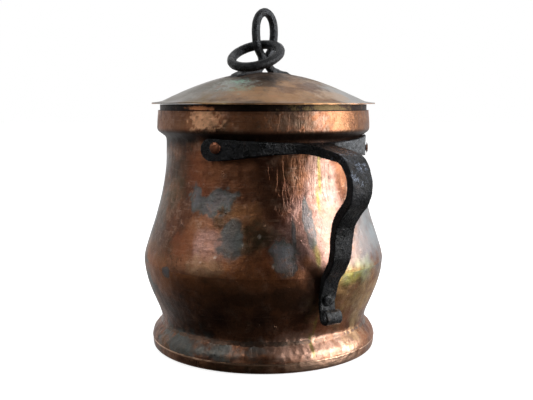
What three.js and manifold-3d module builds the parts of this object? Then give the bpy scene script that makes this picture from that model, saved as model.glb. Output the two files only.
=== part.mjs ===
// Lidded copper pot with a forged iron side handle and a loose lift ring.
// Millimetres, +Z up. The origin is the centre of the underside of the base.
// The handle points along +X.
import * as THREE from "three";
import { mergeVertices } from "three/addons/utils/BufferGeometryUtils.js";
import Module from "manifold-3d";

const wasm = await Module();
wasm.setup();

// Driving dimensions.
const GAP = 0.3; // left between pieces that touch
const ROUND = 40; // facets round the pot and the lid
const SHEET = 1.1; // copper sheet of the body, the base and the skirt
const LID_SHEET = 1.0;

const BASE_RADIUS = 84.4; // flat underside, inside the rounded corner
const BASE_RIM_RADIUS = 89.5;
const BASE_RIM_TOP = 8.2;
const FOOT_RADIUS = 89.8;
const WAIST_RADIUS = 82.2;
const WAIST_Z = 25;
const BELLY_RADIUS = 95.7;
const BELLY_Z = 71; // also the brazed seam between the body's two halves
const NECK_RADIUS = 76.8;
const COLLAR_RADIUS = 84;
const MOUTH_RADIUS = 83;
const MOUTH_Z = 187.2;

const DOME_RADIUS = 79;
const DOME_EDGE_Z = 193.6;
const DOME_TOP_Z = 215.7;
const BRIM_RADIUS = 88;
const BRIM_Z = 192.4;
const SKIRT_RADIUS = 81.5;
const SKIRT_BOTTOM_Z = 171.9;
const SKIRT_TOP_Z = 191.6;

const ARM_RADIUS = 81.2; // outer face of the two arms that hug the neck
const ARM_END_ANGLE = 57.3; // degrees round from the handle
const ARM_END_Z = 160;
const ARM_END_RADIUS = 8.5;
const ARM_FILLET = 15; // between each arm and the grip, seen from above
const GRIP_TOP_WIDTH = 18.3;
const GRIP_LOW_WIDTH = 12.7;
const GRIP_LOW_SHIFT = -1.6; // the bar's lower end leans to one side, as forged
const SCROLL_X = 100.5;
const SCROLL_Z = 42.7;

const SIDE_RIVET_ANGLE = 54.1; // degrees round from the handle
const LEFT_RIVET_Z = 161.4;
const RIGHT_RIVET_Z = 158; // set by eye, a little lower than the left one
const LOW_RIVET_Z = 54.4;
const LOW_RIVET_TURN = -0.9; // degrees round from the handle

const EYE_ANGLE = -74; // the plane of the eye, in degrees from the handle
const EYE_OFFSET = -1.9; // the eye stands a little off the lid's centre, along its own plane
const EYE_BAR = 6.9; // diameter
const FOOT_LENGTH = 38;
const EYE_RIVET_REACH = 22;
const RING_ANGLE = -54; // which way the ring hangs, in degrees from the handle
const RING_BAR = 7.4; // diameter
const RING_RADIUS = 19.2; // to the middle of the bar
const RING_PIVOT_Z = 238.3;
const RING_TILT = 29; // degrees below level

const COPPER = { color: 0xa4623f, roughness: 0.42, metalness: 1 };
const LID_COPPER = { color: 0xa37c5f, roughness: 0.48, metalness: 1 };
const IRON = { color: 0x242423, roughness: 0.6, metalness: 0.8 };
const RIVET_COPPER = { color: 0x7d4a33, roughness: 0.5, metalness: 1 };

const p2 = (x, y) => new THREE.Vector2(x, y);
const rad = THREE.MathUtils.degToRad;

// ---- solids ----

function solid(geometry) {
  const bare = geometry.clone();
  bare.deleteAttribute("normal");
  bare.deleteAttribute("uv");
  const merged = mergeVertices(bare, 1e-4);
  return new wasm.Manifold(
    new wasm.Mesh({
      numProp: 3,
      vertProperties: merged.attributes.position.array,
      triVerts: new Uint32Array(merged.index.array),
    }),
  );
}

function meshOf(name, body, look) {
  const data = body.getMesh();
  const geometry = new THREE.BufferGeometry();
  geometry.setAttribute("position", new THREE.BufferAttribute(data.vertProperties, 3));
  geometry.setIndex(new THREE.BufferAttribute(data.triVerts, 1));
  geometry.computeVertexNormals();
  const mesh = new THREE.Mesh(geometry, new THREE.MeshStandardMaterial(look));
  mesh.name = name;
  return mesh;
}

// A profile of (radius, z) points turned about the Z axis.
function turned(profile, facets = ROUND) {
  const lathe = new THREE.LatheGeometry(profile, facets);
  lathe.rotateX(Math.PI / 2);
  return solid(lathe);
}

function extruded(shape, depth) {
  return new THREE.ExtrudeGeometry(shape, { depth, bevelEnabled: false, curveSegments: 10 });
}

// A side view in X and Z, given a width along Y.
function sideCut(points, width) {
  const geometry = extruded(new THREE.Shape(points), width);
  geometry.translate(0, 0, -width / 2);
  geometry.rotateX(Math.PI / 2);
  return solid(geometry);
}

// A plan view in X and Y, standing between two heights.
function planCut(shape, low, high) {
  const geometry = extruded(shape, high - low);
  geometry.translate(0, 0, low);
  return solid(geometry);
}

// Moves a solid from its own frame, where +Z is its axis, to a place and direction in the part.
function placed(body, position, direction) {
  const turn = new THREE.Quaternion().setFromUnitVectors(
    new THREE.Vector3(0, 0, 1),
    direction.clone().normalize(),
  );
  const matrix = new THREE.Matrix4().compose(position, turn, new THREE.Vector3(1, 1, 1));
  return body.transform(matrix.elements);
}

function cylinder(radius, low, high, sides = 14) {
  const geometry = new THREE.CylinderGeometry(radius, radius, high - low, sides);
  geometry.rotateX(Math.PI / 2);
  geometry.translate(0, 0, (low + high) / 2);
  return solid(geometry);
}

// ---- the copper body ----

// Outside of the body, from the lip of the foot up to the mouth.
function bodyPath() {
  const path = new THREE.Path();
  path.moveTo(FOOT_RADIUS, BASE_RIM_TOP + GAP);
  path.bezierCurveTo(89.6, 18, 80.4, 18.2, WAIST_RADIUS, WAIST_Z);
  path.bezierCurveTo(83.2, 34, 94.8, 50, BELLY_RADIUS, BELLY_Z);
  path.bezierCurveTo(95.7, 78, 88, 96, 85.2, 106.6);
  path.bezierCurveTo(79.3, 127.5, NECK_RADIUS, 137, NECK_RADIUS, 163.5);
  path.quadraticCurveTo(NECK_RADIUS, 166.4, 78.4, 167.5);
  path.lineTo(82.2, 170.4);
  path.quadraticCurveTo(84.2, 171.9, COLLAR_RADIUS, 174.6);
  path.lineTo(MOUTH_RADIUS, MOUTH_Z);
  return path;
}

// The same line moved square to itself, outwards where distance is positive.
function offsetLine(points, distance) {
  return points.map((point, i) => {
    const before = points[Math.max(i - 1, 0)];
    const after = points[Math.min(i + 1, points.length - 1)];
    const along = after.clone().sub(before).normalize();
    return p2(point.x + along.y * distance, point.y - along.x * distance);
  });
}

function bodyShell() {
  const joggle = BASE_RIM_RADIUS - SHEET - GAP; // the foot's edge steps in to fit the base
  const outside = bodyPath().getPoints(5);
  const inside = offsetLine(bodyPath().getPoints(4), -SHEET).filter((point) => point.y > 12);
  inside[inside.length - 1].y = MOUTH_Z;
  const edge = [
    p2(joggle - 4.3, SHEET + GAP),
    p2(joggle - 1.1, 2.6),
    p2(joggle, 5.4),
    p2(joggle, BASE_RIM_TOP + GAP),
  ];
  const hem = [
    p2(joggle - SHEET, 8.6),
    p2(joggle - SHEET, 5.7),
    p2(joggle - 2, 3.7),
    p2(joggle - 4.6, 2.5),
  ];
  return turned([...edge, ...outside, ...inside.reverse(), ...hem, edge[0]]);
}

// The body above the seam round the belly, or below it.
function bodyHalf(shell, side) {
  return shell.trimByPlane([0, 0, side], side * BELLY_Z + GAP / 2);
}

// Everything inside the body's outer surface, grown by the gap: what lies on the body is cut by it.
function bodyEnvelope() {
  const line = offsetLine(bodyPath().getPoints(5), GAP);
  return turned([p2(0, line[0].y), ...line, p2(0, line[line.length - 1].y)]);
}

// A shallow tray whose rim is crimped round the foot of the body.
function basePan() {
  const path = new THREE.Path();
  const corner = BASE_RIM_RADIUS - BASE_RADIUS;
  path.moveTo(0, 0);
  path.lineTo(BASE_RADIUS, 0);
  path.quadraticCurveTo(BASE_RIM_RADIUS, 0, BASE_RIM_RADIUS, corner);
  path.lineTo(BASE_RIM_RADIUS, BASE_RIM_TOP);
  path.lineTo(BASE_RIM_RADIUS - SHEET, BASE_RIM_TOP);
  path.lineTo(BASE_RIM_RADIUS - SHEET, corner);
  path.quadraticCurveTo(BASE_RIM_RADIUS - SHEET, SHEET, BASE_RADIUS - 0.6, SHEET);
  path.lineTo(0, SHEET);
  return turned(path.getPoints(4));
}

// ---- the lid ----

function domePath() {
  const path = new THREE.Path();
  path.moveTo(0, DOME_TOP_Z);
  path.bezierCurveTo(31.5, 216.2, 59.6, 203.1, DOME_RADIUS, DOME_EDGE_Z);
  return path;
}

function lidDome() {
  const outside = [...domePath().getPoints(9), p2(82.5, 192.9), p2(BRIM_RADIUS, BRIM_Z)];
  const inside = outside.map((point) => p2(point.x, point.y - LID_SHEET));
  return turned([...inside, ...outside.reverse()]);
}

function domeEnvelope() {
  const line = offsetLine(domePath().getPoints(9), -GAP);
  return turned([p2(0, 150), p2(DOME_RADIUS, 150), ...line.reverse(), p2(0, DOME_TOP_Z + GAP)]);
}

function lidSkirt() {
  const inner = SKIRT_RADIUS - SHEET;
  return turned([
    p2(inner, SKIRT_BOTTOM_Z),
    p2(SKIRT_RADIUS, SKIRT_BOTTOM_Z),
    p2(SKIRT_RADIUS, SKIRT_TOP_Z),
    p2(inner, SKIRT_TOP_Z),
    p2(inner, SKIRT_BOTTOM_Z),
  ]);
}

// ---- the iron handle ----

// The middle of the bar in X and Z, from the neck out, round and down the belly, with the
// bar's thickness as the third number. Below this line the bar runs on into the scroll.
const GRIP_LINE = [
  [79, 160.9, 7.8],
  [96, 159.1, 7.3],
  [110, 157.4, 6.8],
  [120.5, 155.5, 6.5],
  [126.6, 150.2, 6.8],
  [131.3, 140, 7.2],
  [129.2, 129, 7.4],
  [120.4, 119.5, 7.2],
  [113.8, 110.8, 7.2],
  [111.3, 99.6, 7.1],
  [110.4, 88, 6.8],
  [105.6, 78.6, 6.3],
  [99.6, 70.5, 5.4],
  [96.9, 62.5, 3.9],
  [94.8, 54, 3.4],
  [95.2, 48.5, 2.9],
];

// One turn that tightens a little, curling down, outwards and back to the bar's face.
function scrollLine() {
  const points = [];
  for (let degrees = 180; degrees <= 470; degrees += 15) {
    const radius = THREE.MathUtils.mapLinear(degrees, 180, 470, 4.9, 4.3);
    const x = SCROLL_X + radius * Math.cos(rad(degrees));
    const z = SCROLL_Z + radius * Math.sin(rad(degrees));
    points.push(new THREE.Vector3(x, z, 2.4));
  }
  return points;
}

function gripOutline() {
  const stations = GRIP_LINE.map((row) => new THREE.Vector3(...row));
  const line = [...new THREE.CatmullRomCurve3(stations).getPoints(52), ...scrollLine()];
  const flat = line.map((point) => p2(point.x, point.y));
  const half = line.map((point) => point.z / 2);
  const outer = offsetLine(flat, 1).map((point, i) => point.lerpVectors(flat[i], point, -half[i]));
  const inner = offsetLine(flat, 1).map((point, i) => point.lerpVectors(flat[i], point, half[i]));
  return [...outer, ...inner.reverse()];
}

// The bar's front view: it narrows steadily from the top to the scroll.
function gripFront() {
  const top = 172;
  const low = 34;
  const shape = new THREE.Shape([
    p2(GRIP_LOW_SHIFT - GRIP_LOW_WIDTH / 2, low),
    p2(GRIP_LOW_SHIFT + GRIP_LOW_WIDTH / 2, low),
    p2(GRIP_TOP_WIDTH / 2, top),
    p2(-GRIP_TOP_WIDTH / 2, top),
  ]);
  const geometry = extruded(shape, 90);
  geometry.rotateX(Math.PI / 2);
  geometry.rotateZ(Math.PI / 2);
  geometry.translate(60, 0, 0);
  return solid(geometry);
}

// Seen from above: the two arms round the neck, and the fillets that run out to the grip.
function armsPlan() {
  const end = rad(ARM_END_ANGLE);
  const half = GRIP_TOP_WIDTH / 2;
  const centreY = half + ARM_FILLET;
  const centreX = Math.sqrt((ARM_RADIUS + ARM_FILLET) ** 2 - centreY ** 2);
  const turn = Math.atan2(centreY, centreX);
  const shape = new THREE.Shape();
  shape.absarc(0, 0, NECK_RADIUS - 1, -end, end, false);
  shape.absarc(0, 0, ARM_RADIUS, end, turn, true);
  shape.absarc(centreX, centreY, ARM_FILLET, turn + Math.PI, 1.5 * Math.PI, false);
  shape.absarc(centreX, -centreY, ARM_FILLET, 0.5 * Math.PI, Math.PI - turn, false);
  shape.absarc(0, 0, ARM_RADIUS, -turn, -end, true);
  return shape;
}

// Seen from the side: the arms deepen towards their ends and lie level with the grip at its root.
const ARMS_SIDE = [
  [36, 169],
  [36, 151.3],
  [50, 151.8],
  [60, 153.6],
  [72, 156.4],
  [80, 157.2],
  [95, 155.6],
  [95, 162.9],
  [80, 165],
  [60, 167.2],
];

function armEnd(side) {
  const angle = rad(ARM_END_ANGLE) * side;
  const outwards = new THREE.Vector3(Math.cos(angle), Math.sin(angle), 0);
  const disc = cylinder(ARM_END_RADIUS, ARM_RADIUS - 8, ARM_RADIUS + 4, 20);
  const place = new THREE.Vector3(0, 0, ARM_END_Z);
  return placed(disc, place, outwards).intersect(cylinder(ARM_RADIUS, 140, 180, 80));
}

// A (radius, z) pair stood at an angle round the axis.
function aroundAxis(pair, degrees) {
  const angle = rad(degrees);
  return new THREE.Vector3(pair.x * Math.cos(angle), pair.x * Math.sin(angle), pair.y);
}

// The point of an outline where a test first holds, and the outward direction there.
function skinWhere(points, test) {
  const i = points.findIndex(test);
  const along = points[i + 1].clone().sub(points[i - 1]).normalize();
  return { point: points[i], outwards: p2(along.y, -along.x) };
}

const LOW_SKIN = skinWhere(bodyPath().getPoints(120), (point) => point.y > LOW_RIVET_Z);
const LOW_NORMAL = aroundAxis(LOW_SKIN.outwards, LOW_RIVET_TURN);
const LOW_RIVET_FOOT = aroundAxis(LOW_SKIN.point, LOW_RIVET_TURN);
const LOW_BAR_TOP = 4.1; // outer face of the bar, above the body's skin, at the rivet

function handle() {
  const grip = sideCut(gripOutline(), 30).intersect(gripFront());
  const arms = planCut(armsPlan(), 140, 180).intersect(sideCut(ARMS_SIDE.map((p) => p2(...p)), 190));
  let body = grip.add(arms).add(armEnd(1)).add(armEnd(-1)).subtract(bodyEnvelope());
  for (const side of [1, -1]) body = body.subtract(sideBore(side));
  const seat = placed(cylinder(5.3, LOW_BAR_TOP - GAP, 12), LOW_RIVET_FOOT, LOW_NORMAL);
  return body.subtract(seat).subtract(lowBore());
}

// ---- rivets ----

const SHANK = 2.5; // radius

// A rivet along +Z: its inside head below zero, its outside head from the height grip up.
function rivet(grip, head, headHeight, tail) {
  const path = new THREE.Path();
  const tailSeat = -SHEET - 2 * GAP; // clear of the sheet's curve
  const tailEnd = tailSeat - 1.4;
  path.moveTo(0, tailEnd);
  path.quadraticCurveTo(tail, tailEnd, tail, tailSeat);
  path.lineTo(SHANK, tailSeat);
  path.lineTo(SHANK, grip);
  path.lineTo(head, grip);
  path.quadraticCurveTo(head * 0.9, grip + headHeight, 0, grip + headHeight);
  return turned(path.getPoints(3), 14);
}

function outwardsAt(side) {
  const angle = rad(SIDE_RIVET_ANGLE) * side;
  return new THREE.Vector3(Math.cos(angle), Math.sin(angle), 0);
}

function sideRivetZ(side) {
  return side < 0 ? LEFT_RIVET_Z : RIGHT_RIVET_Z;
}

function sideBore(side) {
  const place = new THREE.Vector3(0, 0, sideRivetZ(side));
  return placed(cylinder(SHANK + GAP, NECK_RADIUS - 6, ARM_RADIUS + 4), place, outwardsAt(side));
}

function sideRivet(side) {
  const place = outwardsAt(side).multiplyScalar(NECK_RADIUS - 0.15);
  place.z = sideRivetZ(side);
  return placed(rivet(ARM_RADIUS + GAP - NECK_RADIUS + 0.15, 4.8, 1.6, 4), place, outwardsAt(side));
}

function lowBore() {
  return placed(cylinder(SHANK + GAP, -6, 12), LOW_RIVET_FOOT, LOW_NORMAL);
}

function lowRivet() {
  return placed(rivet(LOW_BAR_TOP, 5, 1.7, 4), LOW_RIVET_FOOT, LOW_NORMAL);
}

// ---- the eye on the lid ----
// Drawn in its own plane: X runs along the eye's plane, Z is up, and the whole is then turned.

// Middle of the bar on one side, from just past the top of the loop down to the foot.
const EYE_HALF = [
  [-1.5, 263.2],
  [1.5, 263.2],
  [5.6, 261],
  [8.8, 256.4],
  [10, 250],
  [9.7, 243.5],
  [8.8, 237.8],
  [6.4, 233],
  [3.6, 229.2],
  [3, 225.4],
  [4.6, 221.2],
  [8.6, 218],
  [14, 216.4],
];

function eyeHalf() {
  const path = new THREE.CatmullRomCurve3(EYE_HALF.map(([x, z]) => new THREE.Vector3(x, 0, z)));
  const section = new THREE.Shape();
  section.absarc(0, 0, EYE_BAR / 2, 0, 2 * Math.PI, false);
  return solid(
    new THREE.ExtrudeGeometry(section, { steps: 24, extrudePath: path, curveSegments: 5 }),
  );
}

// Top lines of the two feet: the front one is thick to its blunt tip, the back one is thin.
const FRONT_FOOT_TOP = [
  [6, 221],
  [14, 219.5],
  [24, 217.4],
  [31, 214.9],
  [35, 212.6],
  [38, 210.6],
];
const BACK_FOOT_TOP = [
  [6, 220.4],
  [12, 219],
  [20, 217],
  [30, 213.4],
  [38, 210.4],
];

// One leaf-shaped foot, forged flat.
function eyeFoot(topLine) {
  const top = topLine.map(([x, z]) => p2(x, z));
  const block = sideCut([p2(6, 200), p2(FOOT_LENGTH, 200), ...top.reverse()], 20);
  const edge = new THREE.SplineCurve([
    p2(6, -3.4),
    p2(16, -4.8),
    p2(26, -6.2),
    p2(34, -4.6),
    p2(FOOT_LENGTH, 0),
    p2(34, 4.6),
    p2(26, 6.2),
    p2(16, 4.8),
    p2(6, 3.4),
  ]);
  return planCut(new THREE.Shape(edge.getPoints(20)), 190, 240).intersect(block);
}

function eyeFrame(body) {
  const shift = new THREE.Matrix4().makeTranslation(EYE_OFFSET, 0, 0);
  const turn = new THREE.Matrix4().makeRotationZ(rad(EYE_ANGLE));
  return body.transform(turn.multiply(shift).elements);
}

// Where the eye's rivets stand: on the skin of the dome, leaning with it.
function eyeRivetPlace(side) {
  const reach = EYE_RIVET_REACH * side + EYE_OFFSET;
  const skin = skinWhere(domePath().getPoints(120), (point) => point.x > Math.abs(reach));
  const along = new THREE.Vector3(Math.cos(rad(EYE_ANGLE)), Math.sin(rad(EYE_ANGLE)), 0);
  const place = along.clone().multiplyScalar(reach).setZ(skin.point.y);
  const direction = along.multiplyScalar(-side * skin.outwards.x).setZ(-skin.outwards.y);
  return { place, direction };
}

// Top of the foot above the dome's skin at the rivet.
function eyeSeat(side) {
  return side > 0 ? 4 : 3.2;
}

function eyeRivet(side) {
  const { place, direction } = eyeRivetPlace(side);
  return placed(rivet(eyeSeat(side), 3.9, 1.3, 3.8), place, direction);
}

function eyeBore(side) {
  const { place, direction } = eyeRivetPlace(side);
  const bore = cylinder(SHANK + GAP, -6, 14);
  return placed(bore.add(cylinder(4.4, eyeSeat(side) - GAP, 14)), place, direction);
}

function lidEye() {
  const front = eyeHalf().add(eyeFoot(FRONT_FOOT_TOP));
  const back = eyeHalf().add(eyeFoot(BACK_FOOT_TOP)).rotate([0, 0, 180]);
  const iron = eyeFrame(front.add(back));
  return iron.subtract(domeEnvelope()).subtract(eyeBore(1)).subtract(eyeBore(-1));
}

// ---- the lift ring ----

function liftRing() {
  const torus = new THREE.TorusGeometry(RING_RADIUS, RING_BAR / 2, 10, 32);
  torus.translate(RING_RADIUS, 0, 0);
  torus.rotateY(rad(RING_TILT));
  torus.translate(0, 0, RING_PIVOT_Z);
  torus.rotateZ(rad(RING_ANGLE));
  torus.translate(
    EYE_OFFSET * Math.cos(rad(EYE_ANGLE)),
    EYE_OFFSET * Math.sin(rad(EYE_ANGLE)),
    0,
  );
  return solid(torus);
}

// ---- the assembly ----

const pot = new THREE.Group();
let shell = bodyShell().subtract(lowBore());
for (const side of [1, -1]) shell = shell.subtract(sideBore(side));
pot.add(meshOf("body_lower", bodyHalf(shell, -1), COPPER));
pot.add(meshOf("body_upper", bodyHalf(shell, 1), COPPER));
pot.add(meshOf("base_pan", basePan(), COPPER));
pot.add(meshOf("handle", handle(), IRON));
pot.add(meshOf("handle_rivet_left", sideRivet(-1), RIVET_COPPER));
pot.add(meshOf("handle_rivet_right", sideRivet(1), RIVET_COPPER));
pot.add(meshOf("handle_rivet_lower", lowRivet(), IRON));

const ring = new THREE.Group();
ring.add(meshOf("lift_ring", liftRing(), IRON));

const lid = new THREE.Group();
const dome = lidDome().subtract(eyeBore(1)).subtract(eyeBore(-1));
lid.add(meshOf("lid_dome", dome, LID_COPPER));
lid.add(meshOf("lid_skirt", lidSkirt(), COPPER));
lid.add(meshOf("lid_eye", lidEye(), IRON));
lid.add(meshOf("eye_rivet_front", eyeRivet(1), IRON));
lid.add(meshOf("eye_rivet_back", eyeRivet(-1), IRON));
lid.add(ring);

const assembly = new THREE.Group();
assembly.add(pot, lid);

export default assembly;
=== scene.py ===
import math

import bpy
import numpy as np
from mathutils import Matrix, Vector, noise


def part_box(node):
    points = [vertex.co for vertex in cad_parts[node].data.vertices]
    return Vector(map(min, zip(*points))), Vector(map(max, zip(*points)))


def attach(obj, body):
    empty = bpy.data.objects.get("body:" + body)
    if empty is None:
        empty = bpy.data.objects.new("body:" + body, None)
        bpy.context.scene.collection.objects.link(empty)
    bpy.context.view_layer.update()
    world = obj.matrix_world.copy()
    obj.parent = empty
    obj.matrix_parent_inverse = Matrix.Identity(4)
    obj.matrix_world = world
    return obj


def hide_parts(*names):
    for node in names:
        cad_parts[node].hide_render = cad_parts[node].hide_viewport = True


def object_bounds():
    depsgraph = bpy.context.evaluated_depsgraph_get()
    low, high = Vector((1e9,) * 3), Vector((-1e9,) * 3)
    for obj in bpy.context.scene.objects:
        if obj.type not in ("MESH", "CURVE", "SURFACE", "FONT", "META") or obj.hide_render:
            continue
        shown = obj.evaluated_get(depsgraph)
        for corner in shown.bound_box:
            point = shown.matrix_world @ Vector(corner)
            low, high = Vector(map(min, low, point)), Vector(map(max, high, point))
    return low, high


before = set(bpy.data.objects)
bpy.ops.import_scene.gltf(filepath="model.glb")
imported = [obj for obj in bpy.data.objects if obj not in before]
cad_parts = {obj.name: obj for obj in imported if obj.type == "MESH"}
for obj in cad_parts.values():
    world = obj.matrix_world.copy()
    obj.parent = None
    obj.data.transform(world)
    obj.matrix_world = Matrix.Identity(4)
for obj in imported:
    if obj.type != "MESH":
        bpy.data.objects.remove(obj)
cad_low, cad_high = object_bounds()

MM = 0.001
TAU = 2 * math.pi
SEED = 11


# ---- camera ----

VIEW_BEARING = math.radians(-29.3)  # from the handle's direction; minus is clockwise from above
VIEW_AWAY = Vector((-math.cos(VIEW_BEARING), -math.sin(VIEW_BEARING), 0))
CAMERA_DISTANCE = 0.65
CAMERA_HEIGHT = 0.19625
CAMERA_TILT = 7.11  # degrees down
CAMERA_PAN = 0.225  # degrees to the right
CAMERA_LENS = 54.98
CAMERA_SENSOR = 36
CAMERA_CLIP = (0.05, 50)


# ---- places taken from the frame ----

_, lower_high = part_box("body_lower")
upper_low, upper_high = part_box("body_upper")
_, pan_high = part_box("base_pan")
_, dome_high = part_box("lid_dome")
skirt_low, skirt_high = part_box("lid_skirt")

# Radii and heights in millimetres.
BELLY = upper_high.x / MM
SEAM_Z = (lower_high.z + upper_low.z) / 2 / MM
MOUTH_Z = upper_high.z / MM
PAN_RADIUS = pan_high.x / MM
PAN_TOP = pan_high.z / MM
BRIM_RADIUS = dome_high.x / MM
DOME_TOP = dome_high.z / MM
SKIRT_RADIUS = skirt_high.x / MM
SKIRT_LOW = skirt_low.z / MM
SKIRT_HIGH = skirt_high.z / MM

# Sheet metal, in millimetres.
SHEET = 1.1
LID_SHEET = 1.0
SEAM_GAP = 0.01  # half of the gap between the body's two halves
LIP_RISE = 0.3  # how far the foot's lip stands over the pan's edge
PAN_GAP = 0.3  # between the foot and the pan's wall
PAN_FLAT = 84.4  # where the flat underside of the pan ends
PAN_BEVEL = 0.35  # at the top of the pan's wall
AXIS_RADIUS = 0.3  # of the hole that a turned sheet keeps on its axis
HEM_TOP = 12  # the body's inside wall stops above the hem of its foot

# Fineness of the meshes.
BODY_COLUMNS = 680
LID_COLUMNS = 480
PAN_COLUMNS = 480
SKIRT_COLUMNS = 400
FLOOR_COLUMNS = 96
BODY_SPACING = 0.98
DOME_SPACING = 0.9
SHARP_ANGLE = 50
SAME_POINT = 1e-6  # points of a line this close together are one point

# Between these heights the lid's skirt passes close to the body's inside, and every third
# point of the outline is kept there. Elsewhere every seventh is.
BEND_LOW = 164
BEND_HIGH = 176
BEND_STEP = 3
PLAIN_STEP = 7


# ---- outlines ----

def bezier(a, b, c, d, steps=40):
    t = np.linspace(0, 1, steps)[:, None]
    a, b, c, d = (np.array(p, float) for p in (a, b, c, d))
    return (1 - t) ** 3 * a + 3 * t * (1 - t) ** 2 * b + 3 * t * t * (1 - t) * c + t**3 * d


def evenly(points, spacing):
    """The same line with points at an even spacing."""
    points = np.array(points, float)
    keep = np.r_[True, np.linalg.norm(np.diff(points, axis=0), axis=1) > SAME_POINT]
    points = points[keep]
    along = np.r_[0, np.cumsum(np.linalg.norm(np.diff(points, axis=0), axis=1))]
    count = max(2, int(round(along[-1] / spacing)) + 1)
    s = np.linspace(0, along[-1], count)
    return np.c_[np.interp(s, along, points[:, 0]), np.interp(s, along, points[:, 1])]


def square_to(points):
    """Unit vectors square to a line of (radius, z) points, on its right-hand side."""
    run = np.gradient(points, axis=0)
    run /= np.linalg.norm(run, axis=1)[:, None]
    return np.c_[run[:, 1], -run[:, 0]]


def body_outline():
    """Outside of the body in (radius, z), from the lip of the foot up to the mouth."""
    lip = (89.8, PAN_TOP + LIP_RISE)
    waist = (82.2, 25)
    belly = (BELLY, SEAM_Z)
    shoulder = (85.2, 106.6)
    neck = (76.8, 163.5)
    flare = (78.4, 167.5)
    step = (82.2, 170.4)
    collar = (84, 174.6)
    mouth = (83, MOUTH_Z)
    curves = [
        bezier(lip, (89.6, 18), (80.4, 18.2), waist),
        bezier(waist, (83.2, 34), (94.8, 50), belly),
        bezier(belly, (BELLY, 78), (88, 96), shoulder),
        bezier(shoulder, (79.3, 127.5), (76.8, 137), neck),
        bezier(neck, (76.8, 165.2), (77.2, 166.6), flare),
        bezier(flare, (80, 168.7), (81.2, 169.7), step),
        bezier(step, (83.5, 171.3), (84.1, 172.6), collar),
        bezier(collar, (83.8, 178), (83.4, 183), mouth),
    ]
    return evenly(np.vstack(curves), BODY_SPACING)


def dome_outline():
    """Top of the lid in (radius, z), from the brim's edge in to the centre."""
    edge = (BRIM_RADIUS, 192.4)
    brim = (82.5, 192.9)
    rise = (79, 193.6)
    crown = (0.4, DOME_TOP)
    curves = [
        bezier(edge, (86, 192.5), (84, 192.7), brim),
        bezier(brim, (81.3, 193.1), (80.2, 193.2), rise),
        bezier(rise, (59.6, 203.1), (31.5, 216.2), crown),
    ]
    return evenly(np.vstack(curves), DOME_SPACING)


# ---- uneven surfaces ----

BLOW_REACH = 0.62  # of a hammer blow, in cells
FARTHEST = 9.0  # more cells than lie between any point and its nearest blow
CREASE_NARROWING = 4
CREASE_WAVER = 0.8

# Depths of the body's relief, in millimetres.
SWELL_DEPTH = 0.15
DISH_DEPTH = 0.1
FOOT_DEPTH = 0.26
FOLD_DEPTH = 0.015
SHOULDER_FOLD = 0.09
COLLAR_FOLD = 0.045
FOOT_FADE = 2.5  # the relief gets shallower this near the pan
MOUTH_FADE = 2  # and this near the mouth

# Where on the body it lies: low, high and softness of each end in mm, then degrees round it.
FOOT_BAND = (9, 26, 2)
SHOULDER_BAND = (88, 166, 12)
COLLAR_RISE = (172, 175)
WRINKLED_PLACE = -10
WRINKLED_REACH = 20

# The dome's relief, in millimetres.
DOME_SWELL = 0.14
DOME_RIPPLE = 0.06
DOME_DISH = 0.05
BRIM_WAVE_HEIGHT = 0.32
BRIM_WAVE_SIZE = 200  # so long that the brim's waves hardly change along its radius
BRIM_NICK_DEPTH = 0.22


def smooth(t):
    t = np.clip(t, 0, 1)
    return t * t * (3 - 2 * t)


def ramp(value, low, high):
    """0 below low, 1 above high, and smooth between."""
    return smooth((value - low) / (high - low))


def band(value, low, high, soft):
    return ramp(value, low - soft, low + soft) * (1 - ramp(value, high - soft, high + soft))


def lattice(u, v, around, seed):
    """Smooth noise from -1 to 1 over (u, v). u repeats after `around` cells."""
    rng = np.random.default_rng(seed)
    rows = int(np.ceil(v.max())) + 3
    table = rng.uniform(-1, 1, (around, rows))
    ui, vi = np.floor(u).astype(int), np.floor(v).astype(int)
    fu, fv = smooth(u - ui), smooth(v - vi)
    a = table[ui % around, vi]
    b = table[(ui + 1) % around, vi]
    c = table[ui % around, vi + 1]
    d = table[(ui + 1) % around, vi + 1]
    return (a * (1 - fu) + b * fu) * (1 - fv) + (c * (1 - fu) + d * fu) * fv


def waves(turn, along, around, size, seed):
    """The same noise laid round the pot, `around` cells to a turn, each `size` mm long."""
    return lattice(turn / TAU * around, along / size, around, seed)


def blows(u, v, around, seed):
    """Distance to the nearest of scattered hammer blows, one to a cell, in cells."""
    rng = np.random.default_rng(seed)
    rows = int(np.ceil(v.max())) + 4
    jitter = rng.uniform(0.15, 0.85, (around, rows, 2))
    ui, vi = np.floor(u).astype(int), np.floor(v).astype(int)
    nearest = np.full(u.shape, FARTHEST)
    for du in (-1, 0, 1):
        for dv in (-1, 0, 1):
            spot = jitter[(ui + du) % around, np.clip(vi + dv, 0, rows - 1)]
            x = ui + du + spot[..., 0] - u
            y = vi + dv + spot[..., 1] - v
            nearest = np.minimum(nearest, np.hypot(x, y))
    return nearest


def creases(turn, height, around, tall, seed):
    """Long upright creases, 0 on open sheet and 1 in a crease."""
    u = turn / TAU * around
    waver = CREASE_WAVER * waves(turn, height, 24, 14, seed + 1)
    wave = lattice((u + waver) % around, height / tall, around, seed)
    return np.clip(1 - np.abs(wave) * CREASE_NARROWING, 0, 1) ** 2


def hammered(turn, along, around, size, seed):
    """0 between hammer blows and 1 in the middle of each."""
    distance = blows(turn / TAU * around, along / size, around, seed)
    return np.clip(1 - (distance / BLOW_REACH) ** 2, 0, 1)


def wrinkling(turn, height):
    """How wrinkled the sheet is: most behind the grip of the handle, and in patches."""
    degrees = np.degrees((turn + math.pi) % TAU - math.pi)
    near = np.exp(-(((degrees - WRINKLED_PLACE) / WRINKLED_REACH) ** 2))
    return near * ramp(waves(turn, height, 26, 21, SEED + 9), -0.25, 0.5)


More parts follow.
